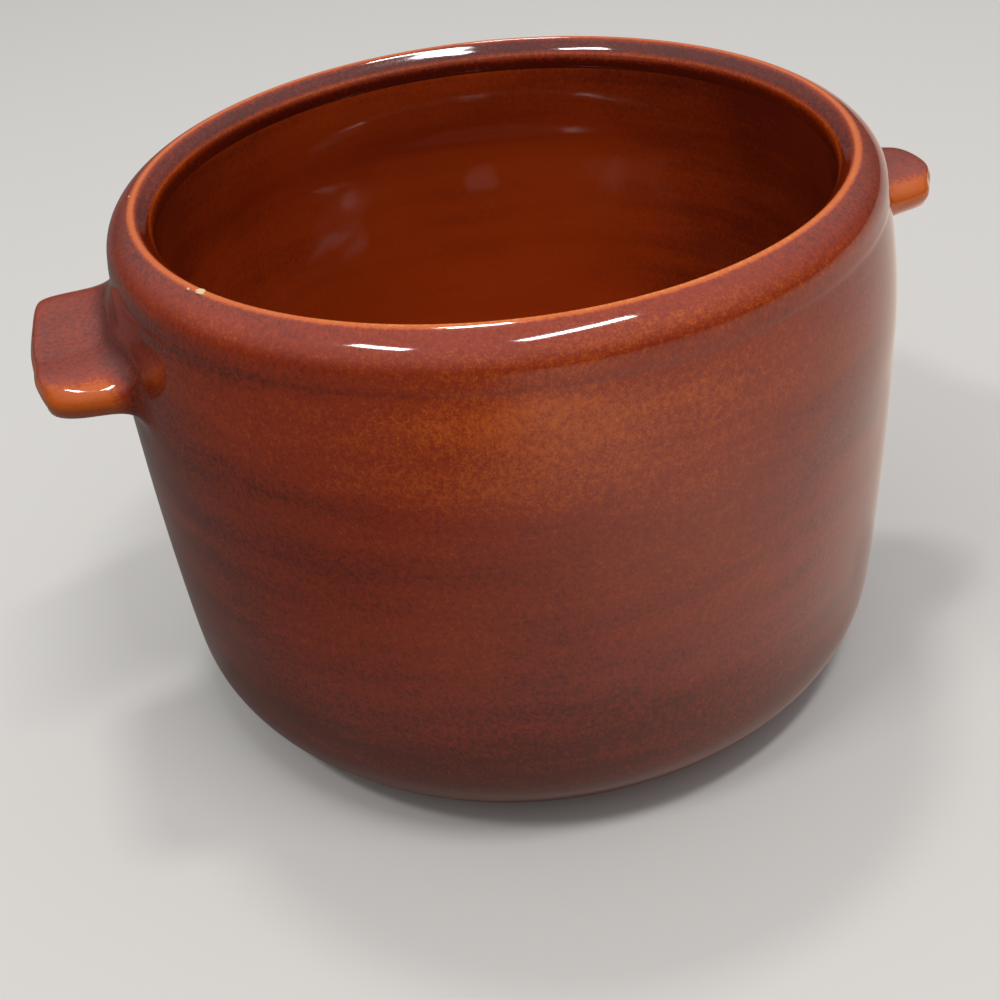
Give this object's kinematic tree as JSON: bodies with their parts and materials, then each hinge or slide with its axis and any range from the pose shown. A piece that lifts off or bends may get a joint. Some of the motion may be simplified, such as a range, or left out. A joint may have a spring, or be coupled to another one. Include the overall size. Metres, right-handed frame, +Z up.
{
  "type": "stoneware bean pot",
  "caption": "Open straight-walled stoneware pot with a rounded shoulder, a sloping lid seat inside the rim, lug handles and a glossy brown glaze.",
  "frame": {"origin": "on the table, under the middle of the pot", "axes": "+Z up along the axis of the pot, +X out through the lug that is on the right of the picture"},
  "size_m": [0.215, 0.1825, 0.13],
  "materials": {
    "bare_stoneware": "unglazed buff, slightly rough",
    "outside_glaze": "glossy red-brown, orange where it is thin",
    "inside_glaze": "glossy red-brown"
  },
  "bodies": {
    "root": {"pot_body": "bare_stoneware", "right_lug": "bare_stoneware", "left_lug": "bare_stoneware", "right_lug_slip": "bare_stoneware", "left_lug_slip": "bare_stoneware", "outside_glaze": "outside_glaze", "inside_glaze": "inside_glaze"}
  },
  "joints": []
}
